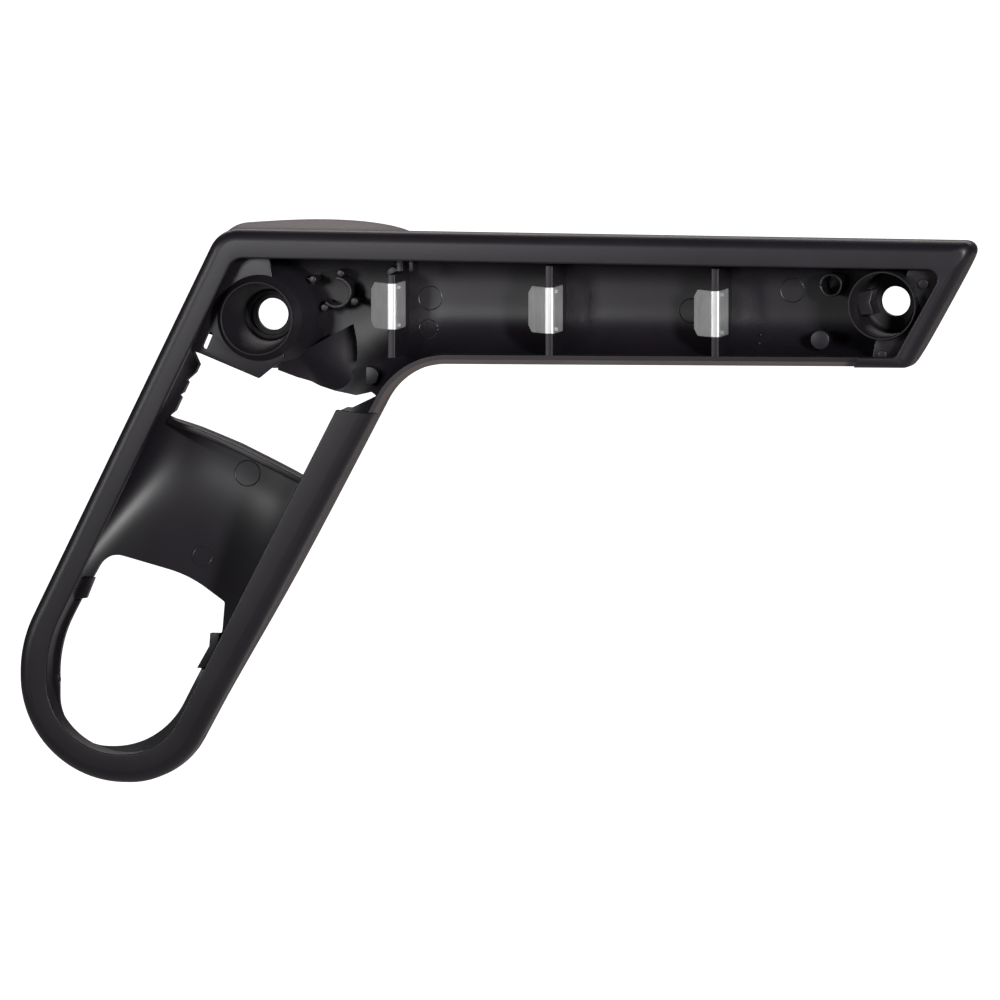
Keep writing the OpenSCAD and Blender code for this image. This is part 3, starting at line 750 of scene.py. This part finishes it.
# Depth at which a post of radius r at (x, z) ends: sunk below the shallowest point of the floor under it
def footAt(x, z, r, sunk=1.2):
    under = disc(x, z, r, floorFit["samples"])
    return float(floorDepth(under[:, 0], under[:, 1]).min() + sunk)


# The open ring with its pins beside the corner cup, a post (x, z, r) right of the last clip and a tube
fittings = dict(
    ring=dict(x=21.6, z=7.4, r=4.5, t=1.0, start=-138, stop=93, top=22.0),
    tube=dict(x=178.7, z=11.5, r=3.3, t=0.75, start=-180, stop=179, top=20.0),
    pins=((14.4, 11.4), (23.2, 13.4), (27.6, 4.7), (18.1, 2.6)), pinR=1.2, pinTop=21.0,
    post=(175.3, -5.5, 3.0), postTop=20.0, foot=33.0, edge=0.25,
)


# A wall along an arc between two angles: the radii r + t / 2 and back along r - t / 2, with rounded edges
def ringWall(x, z, r, t, start, stop, top):
    a = np.radians(np.linspace(start, stop, fineness["ring"]))
    line = np.vstack([np.stack([x + k * np.cos(s), z + k * np.sin(s)], -1)
                      for k, s in ((r + t / 2, a), (r - t / 2, a[::-1]))])
    return plate(line, top, fittings["foot"], fittings["edge"])


smallParts = makePiece("ringAndPosts", [
    ringWall(**fittings["ring"]),
    *[post(x, z, fittings["pinR"], fittings["pinTop"], fittings["foot"]) for x, z in fittings["pins"]],
    post(*fittings["post"], fittings["postTop"], footAt(*fittings["post"])),
    ringWall(**fittings["tube"]),
], innerPlastic)

# Round marks of the mould's pins on the channel's floor: (x, z, r)
marks = dict(
    circles=((49.6, 5.4, 3.7), (49.2, -4.3, 3.0), (132.4, 2.4, 3.7), (164.4, 9.1, 3.7), (-8.7, -50.2, 4.0),
             (-21.5, -75.8, 3.0)),
    wide=0.16, high=0.14, sunk=0.3, steps=72,
)


# A low round ridge: a section of width 2 wide and height high, turned at radius r and laid on the floor
def circleMark(x, z, r):
    under = disc(x, z, r, marks["steps"])
    wide, high, sunk = marks["wide"], marks["high"], marks["sunk"]
    section = [(r - wide, sunk), (r - wide, -high / 2), (r, -high), (r + wide, -high / 2), (r + wide, sunk)]
    return turned(section, x, z, marks["steps"], floorDepth(under[:, 0], under[:, 1]))


circleMarks = makePiece("circleMarks", [circleMark(*circle) for circle in marks["circles"]], innerPlastic)

# Finger scoop beside the lever's window, from a crease (x, d, z) down to the window's edge (x, z)
scoop = dict(
    creaseStart=(4.6, 15.0, -15.0), creaseEnd=(27.5, 31.4, -1.6),
    edge=((4.2, -16.7), (8.4, -19.4), (14.7, -22.5), (19.5, -24.0), (26.5, -25.0), (31.9, -23.6),
          (36.0, -20.0)),
    edgeStart=17.0, edgeSlope=60.0, edgeDepth=31.6, thick=1.0, bend=0.8, sink=4.0, sinkPower=4,
    steps=(41, 25),
)


# Ruled sheet between the crease and the window's edge: (1 - v^bend) * crease(u) + v^bend * edge(u), where
# the edge's depth is start + slope * u down to its full depth; the sheet is deeper by sink * u^power, so
# that its far end runs out into the floor
def scoopSheet():
    u, v = np.linspace(0, 1, scoop["steps"][0]), np.linspace(0, 1, scoop["steps"][1])
    start, stop = np.array(scoop["creaseStart"]), np.array(scoop["creaseEnd"])
    crease = start + u[:, None] * (stop - start)
    edge = np.array(scoop["edge"])
    run = lengths(edge)
    s = u * run[-1]
    depth = np.minimum(scoop["edgeDepth"], scoop["edgeStart"] + scoop["edgeSlope"] * u)
    low = np.stack([np.interp(s, run, edge[:, 0]), depth, np.interp(s, run, edge[:, 1])], -1)
    share = (v ** scoop["bend"])[None, :, None]
    top = crease[:, None] * (1 - share) + low[:, None] * share
    top[:, :, 1] += scoop["sink"] * u[:, None] ** scoop["sinkPower"]
    return shellSolid(top, top + np.array([0, scoop["thick"], 0]))


scoopPiece = makePiece("fingerScoop", [scoopSheet()], innerPlastic)

# Blades under the top band (x, z, half width), pads beside the ring (x, z, half width, half height, top),
# two discs (x, z, r), two pins and the block in the far cup
details = dict(
    blades=((0.87, 16.6, 0.7), (48.2, 15.0, 0.7)), bladeLong=4.5, bladeTop=8.4, bladeFoot=15.0,
    bladeEdge=0.35,
    pads=((12.4, 10.6, 2.0, 1.1, 25.0), (12.4, 1.8, 2.0, 1.2, 25.0)), padFoot=32.8, padEdge=0.2,
    halfDisc=(31.7, -18.7, 3.0), halfDiscTop=24.0, halfDiscTurn=110, halfDiscEdge=0.25,
    tipDisc=(38.4, 13.2, 2.1), tipDiscTop=29.0,
    pins=((155.0, -4.7, 0.4), (155.1, -7.2, 0.4)), pinRise=0.8, pinEdge=0.15,
    cupBlock=((187.6, 9.6), (192.6, 10.4), (191.6, 6.4), (192.9, 2.8), (188.4, 2.5), (187.4, 6.2)),
    blockTop=17.0, blockFoot=31.0,
)


# A round post that is cut flat on its left: the arc from -turn to turn, closed by a straight side
def halfPost(x, z, r, top, foot):
    a = np.radians(np.linspace(-details["halfDiscTurn"], details["halfDiscTurn"], fineness["halfPost"]))
    return plate(np.stack([x + r * np.cos(a), z + r * np.sin(a)], -1), top, foot, details["halfDiscEdge"])


smallDetails = makePiece("smallDetails", [
    *[box(x - w, x + w, z, z + details["bladeLong"], details["bladeTop"], details["bladeFoot"],
          details["bladeEdge"]) for x, z, w in details["blades"]],
    *[box(x - w, x + w, z - h, z + h, top, details["padFoot"], details["padEdge"])
      for x, z, w, h, top in details["pads"]],
    halfPost(*details["halfDisc"], details["halfDiscTop"], footAt(*details["halfDisc"])),
    post(*details["tipDisc"], details["tipDiscTop"], footAt(*details["tipDisc"])),
    *[post(*pin, footAt(*pin, -details["pinRise"]), footAt(*pin), details["pinEdge"])
      for pin in details["pins"]],
    plate(details["cupBlock"], details["blockTop"], details["blockFoot"]),
], innerPlastic)

# Ledge round the far cup's slanted end, with a low ridge along it and two round bosses (x, z, r)
endLedge = dict(
    line=((205.0, 17.4), (214.0, 17.4), (217.0, 15.4), (216.6, 11.6), (206.6, -9.4), (200.0, -11.4),
          (193.4, -11.4), (194.4, -6.0)),
    top=9.0, t=2.4, cornerR=0.8, arcSteps=3, cupGap=0.45, cutTo=20.0,
    ridge=((214.6, 14.6), (214.8, 11.6), (204.6, -9.0)), ridgeTop=7.0, ridgeWide=0.9, ridgeEdge=0.2,
    bosses=((209.8, 12.9, 1.7), (196.9, -9.2, 1.5)), bossRise=0.7, bossEdge=0.25, sunk=1.0,
)


# A strip of constant width along a line: the line + and - half the width across its heading
def strip(line, wide):
    line = np.asarray(line, dtype=float)
    step = np.gradient(line, axis=0)
    step /= np.linalg.norm(step, axis=1)[:, None]
    side = np.stack([-step[:, 1], step[:, 0]], -1) * wide / 2
    return np.vstack([line + side, (line - side)[::-1]])


ledgeLine = filleted(endLedge["line"], endLedge["cornerR"], endLedge["arcSteps"])
ledgeTop, ledgeSunk = endLedge["top"], endLedge["top"] + endLedge["sunk"]
ridgeLine = strip(endLedge["ridge"], endLedge["ridgeWide"])
ledgePiece = makePiece("endLedge", [
    plate(ledgeLine, ledgeTop, ledgeTop + endLedge["t"]),
    plate(ridgeLine, endLedge["ridgeTop"], ledgeSunk, endLedge["ridgeEdge"]),
    *[post(*boss, ledgeTop - endLedge["bossRise"], ledgeSunk, endLedge["bossEdge"])
      for boss in endLedge["bosses"]],
], innerPlastic)
carve(ledgePiece, [
    plate(disc(farCup["x"], farCup["z"], farCup["r"] + endLedge["cupGap"]), 0, endLedge["cutTo"], 0),
])

# Two tabs and a round bump (x, z, r) on the ledge inside the loop
loopTabs = dict(
    tabs=(((-60.0, -88.9), (-59.0, -87.5), (-56.2, -81.6), (-53.0, -82.0), (-55.6, -88.4)),
          ((-20.2, -109.7), (-16.3, -102.8), (-16.0, -98.8), (-12.9, -98.8), (-14.0, -105.0),
           (-17.9, -109.9))),
    bump=(-66.4, -114.2, 2.2), bumpDrop=1.2, top=9.6, foot=13.0, edge=0.25,
)
tabPiece = makePiece("loopTabs", [
    *[plate(tab, loopTabs["top"], loopTabs["foot"], loopTabs["edge"]) for tab in loopTabs["tabs"]],
    post(*loopTabs["bump"], loopTabs["top"] + loopTabs["bumpDrop"], loopTabs["foot"], loopTabs["edge"]),
], innerPlastic)
print("scene: cups, ribs and posts made")


# The frame: land and skirt round the whole hook, a bead on the bar and a wall inside the loop, and where
# it starts and ends
rim = dict(
    land=2.5, skirt=2.6, shoulder=4.0, lip=0.6, bead=0.8, wallDepth=11.2, wallThick=2.0,
    leastLand=2.0, leastGap=1.0, seamEdge=0.25, beadEdge=0.3, beadRoot=0.2, skirtRoot=0.4, skirtEdge=0.2,
    arcSteps=8, loopStart=70.0, hookFoot=15.0, hookArm=28.0, armCutLean=6.4, closeTo=0.01,
)
footCut = inset(edges[0], rim["hookFoot"])
armCut = (at(trim["rightX"] / 2, -rim["hookArm"]), direction(-rim["armCutLean"]))
loopStart = at(-trim["loopLeft"] + trim["leftBand"], -trim["loopBottom"] + rim["loopStart"])
loopLine = (loopStart, direction(-armLean))
loopLineBelow = (loopLine[0] - at(0, rim["wallThick"]), loopLine[1])


# The frame's path along one side of its land, from the slanted end's foot round to the arm's upper end,
# with two close stations on either side of the arm where the loop's wall starts
def hookPath(arcs, sides):
    return np.vstack([
        meet(sides[6], footCut)[None], arcs[6], arcs[0], arcs[1],
        meet(sides[2], loopLine)[None], meet(sides[2], loopLineBelow)[None], arcs[2], arcs[3], arcs[4],
        meet(sides[5], loopLineBelow)[None], meet(sides[5], loopLine)[None], meet(sides[5], armCut)[None]])


# Heading of the outer edge at each station of that path: an arc's is the edge's, turned by the arc's angles
def hookHeadings():
    turns = [turnedBy(edges[k][1], arcAngles(edges[k], edges[(k + 1) % len(edges)], steps))
             for k, steps in enumerate(trim["arcSteps"])]
    foot, left, right = edges[6][1][None], edges[2][1][None], edges[5][1][None]
    return np.vstack([foot, turns[6], turns[0], turns[1], left, left, turns[2], turns[3], turns[4],
                      right, right, right])


# Section across the land at each station, as corners (inward, depth, rounding): a point lies at
# outer + inward * (inner - outer) / w, where w is the land's width, measured square to the heading
def frameRings():
    rings = []
    for outer, inner, heading in zip(hookPath(outline, edges), hookPath(band, bandEdges), hookHeadings()):
        w = float(cross2(heading, inner - outer))
        step = (inner - outer) / w
        inLoop = cross2(loopLine[1], outer - loopLineBelow[0]) < rim["closeTo"]
        deep = rim["wallDepth"] if inLoop else rim["land"] + rim["bead"]
        skirt = min(rim["skirt"], w - rim["leastLand"])
        bead = w - min(rim["wallThick"], w - skirt - rim["leastGap"])
        section = roundedSection([
            (0, seamDepth, rim["seamEdge"]), (0, 0, min(rim["shoulder"], w - rim["leastGap"])),
            (w, 0, rim["lip"]), (w, deep, rim["beadEdge"]),
            (bead, deep, rim["beadEdge"]), (bead, rim["land"], rim["beadRoot"]),
            (skirt, rim["land"], rim["skirtRoot"]), (skirt, seamDepth, rim["skirtEdge"]),
        ], rim["arcSteps"])
        across = outer + step * section[:, :1]
        rings.append(np.stack([across[:, 0], section[:, 1], across[:, 1]], -1))
    return np.array(rings)


surround = makePiece("surroundFrame", [tube(frameRings())], outerPlastic)
print("scene: frame made,", len(surround.data.polygons), "faces")


# Spring clips: a leaf that slants away to the left of the rib and a straight leg on its right, with barbs
clipForm = dict(
    names=("springClipLeft", "springClipMiddle", "springClipRight"), z=(4.0, 3.3, 2.8),
    length=14.4, t=0.6, leg=14.0, reach=6.6, fall=8.0, cut=2.0, crest=0.3, leafR=0.9, legR=0.75,
    arcSteps=8, stations=70, cornerCut=0.5, sharpAngle=40.0,
    barbZ=5.9, barbHalf=0.55, barbOut=0.75, barbSunk=0.2, barbRun=(1.0, 6.0, 2.0), barbEdge=0.1,
)


# Sheet steel: a rectangle with cut corners, t thick, carried along a path in (x, depth); to each side it
# is length / 2 - (cut - s) wide while the way s along the leaf is short of cut, and length / 2 after that
def clipShell(x, z):
    form, side, edge, half = clipForm, ribs["clipSide"] / 2, ribs["edge"], clipForm["t"] / 2
    corners = [(-side - form["reach"], edge + form["fall"] - half), (-side + form["crest"], edge - half),
               (side + half, edge - half), (side + half, edge + form["leg"])]
    path = filleted(corners, [0, form["leafR"], form["legR"], 0], form["arcSteps"], closed=False)
    run = lengths(path)
    s = np.unique(np.concatenate([np.linspace(0, run[-1], form["stations"]), run]))[:, None]
    px, pd = np.interp(s, run, path[:, 0]), np.interp(s, run, path[:, 1])
    tx, td = np.gradient(px[:, 0], s[:, 0])[:, None], np.gradient(pd[:, 0], s[:, 0])[:, None]
    size = np.hypot(tx, td)
    width = form["length"] / 2 - np.clip(form["cut"] - s, 0, form["cut"])
    e = half * form["cornerCut"]
    thick = np.array([-half, -half + e, half - e, half, half, half - e, -half + e, -half])
    sign = np.array([-1, -1, -1, -1, 1, 1, 1, 1])
    cut = np.array([e, 0, 0, e, e, 0, 0, e])
    across, along = z + sign * (width - cut), x + px + td / size * thick
    return tube(np.stack([along, pd - tx / size * thick, across], -1))


# Two barbs bent out of the straight leg: triangles in (x, depth), barbZ above and below its middle
def clipBarbs(x, z):
    form, half = clipForm, clipForm["barbHalf"]
    face = x + ribs["clipSide"] / 2 + form["t"]
    start, stop, tip = (ribs["edge"] + run for run in form["barbRun"])
    inside, outside = face - form["barbSunk"], face + form["barbOut"]
    line = [(inside, start), (inside, stop), (outside, tip)]
    return [plate(line, middle - half, middle + half, form["barbEdge"], 2, lambda u, v, w: (u, v, w))
            for middle in (z - form["barbZ"], z + form["barbZ"])]


clipPieces = [makePiece(name, [clipShell(x, z), *clipBarbs(x, z)], springSteel, clipForm["sharpAngle"])
              for name, x, z in zip(clipForm["names"], ribs["x"], clipForm["z"])]
print("scene: clips made")


# Nothing inside comes through the hand side: the shell's middle surface, carried on in depth, cuts it off
for piece in (cups, smallParts, scoopPiece, smallDetails, ledgePiece):
    carve(piece, [shellSolid(middleRows, middleRows + np.array([0, shell["cutOff"], 0]))])

for piece in (handSkin, channelSkin, cups, crossRibs, platform, windowRib, smallParts,
              circleMarks, scoopPiece, smallDetails, ledgePiece, tabPiece):
    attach(piece, "root")
    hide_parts("grip_shell")
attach(surround, "root")
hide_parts("surround_frame")
for piece, node in zip(clipPieces, ("clip_left", "clip_middle", "clip_right")):
    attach(piece, "root")
    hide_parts(node)
print("scene: pieces set in the frame")


# The floor lies well under the part, as in a cut out product photo, in metres; glow is (base, share)
floorForm = dict(z=-0.30, size=30.0, dark=(0.90, 0.90, 0.90, 1), light=(0.92, 0.92, 0.92, 1),
                 toneRange=(0.2, 0.8), patchScale=1.5, roughness=0.9, glow=(0.03, 1.17))
worldGlow = (0.035, 0.965)
white = (1, 1, 1, 1)


# Strength of a glow: base + share * seen, where seen, output 0 of its node, is 1 for what the camera sees
def glowFor(tree, base, share):
    return base + share * Wire(tree).node("ShaderNodeLightPath", out=0)


# A square floor: corners at half its size, colour = mix(dark, light, noise)
def makeFloor():
    s, z = floorForm["size"] / 2, floorForm["z"]
    mesh = bpy.data.meshes.new("studioFloor")
    mesh.from_pydata([(-s, -s, z), (s, -s, z), (s, s, z), (-s, s, z)], [], [(0, 1, 2, 3)])
    material, shader, place = newMaterial("paleFloor")
    patches = noise(place, floorForm["patchScale"]).between(*floorForm["toneRange"])
    feed(shader, {
        "Base Color": patches.mixColours(floorForm["dark"], floorForm["light"]),
        "Roughness": floorForm["roughness"],
        "Emission Color": white,
        "Emission Strength": glowFor(material.node_tree, *floorForm["glow"]),
    })
    mesh.materials.append(material)
    addObject("studioFloor", mesh)


# A white world, bright where the camera sees it and dim as a light
def makeWorld():
    world = bpy.data.worlds.new("paleRoom")
    bpy.context.scene.world = world
    world.use_nodes = True
    tree = world.node_tree
    feed(tree.nodes["Background"], {"Strength": glowFor(tree, *worldGlow), "Color": white})


# Places in metres, power in watts and spread in degrees, set from the shadows in the photo
lamps = dict(
    keyLight=dict(place=(-0.15, -0.62, 0.08), target=(0.03, 0, 0.02), size=(0.10, 0.10),
                  power=0.135, spread=70),
    rightLight=dict(place=(0.54, -0.64, 0.12), target=(0.09, 0, 0.03), size=(0.10, 0.12),
                    power=0.42, spread=56),
    leftLight=dict(place=(-0.60, -0.45, 0.12), target=(0.07, 0, 0.0), size=(0.20, 0.20),
                   power=0.16, spread=60),
    backLight=dict(place=(0.05, 1.10, 0.95), target=(0.08, 0, 0.02), size=(1.8, 0.6),
                   power=9.5, spread=180, colour=(1.0, 0.93, 0.93)),
)


# An area lamp that shines from its place along target - place
def addLamp(name, place, target, size, power, spread, colour=(1, 1, 1)):
    data = bpy.data.lights.new(name, "AREA")
    data.shape, data.size, data.size_y, data.energy = "RECTANGLE", size[0], size[1], power
    data.spread, data.color = math.radians(spread), colour
    lamp = addObject(name, data)
    lamp.location = place
    lamp.rotation_mode = "QUATERNION"
    lamp.rotation_quaternion = Vector(np.array(target) - np.array(place)).to_track_quat("-Z", "Y")


# The photo's view: angles in degrees, distance in metres, the photo's scale and size in pixels, and what
# lies right of and below the origin in its middle, in millimetres
photoView = dict(azimuth=11.0, elevation=4.0, distance=6.0, pixelsPerMm=3.2, imageSize=1000.0,
                 right=71.1, down=58.1, sensorMm=36.0, clipEnd=200.0)


# The camera looks along (-sin a cos e, cos a cos e, -sin e) from distance away, and its lens is
# sensor * distance / the width that the photo covers
def makeCamera():
    view = photoView
    a, e = math.radians(view["azimuth"]), math.radians(view["elevation"])
    right = np.array([math.cos(a), math.sin(a), 0])
    forward = np.array([-math.sin(a) * math.cos(e), math.cos(a) * math.cos(e), -math.sin(e)])
    up = np.cross(right, forward)
    target = (view["right"] * right - view["down"] * up) / mmPerMetre
    data = bpy.data.cameras.new("photoCamera")
    data.sensor_width, data.clip_end = view["sensorMm"], view["clipEnd"]
    data.lens = view["sensorMm"] * view["distance"] * mmPerMetre / (view["imageSize"] / view["pixelsPerMm"])
    camera = addObject("photoCamera", data)
    camera.location = target - forward * view["distance"]
    camera.rotation_mode = "QUATERNION"
    camera.rotation_quaternion = Vector(forward).to_track_quat("-Z", "Y")
    bpy.context.scene.camera = camera


makeFloor()
makeWorld()
makeCamera()
for name, lamp in lamps.items():
    addLamp(name, **lamp)
bpy.context.scene.view_settings.view_transform = "Standard"
print("scene: floor, lights and camera made")
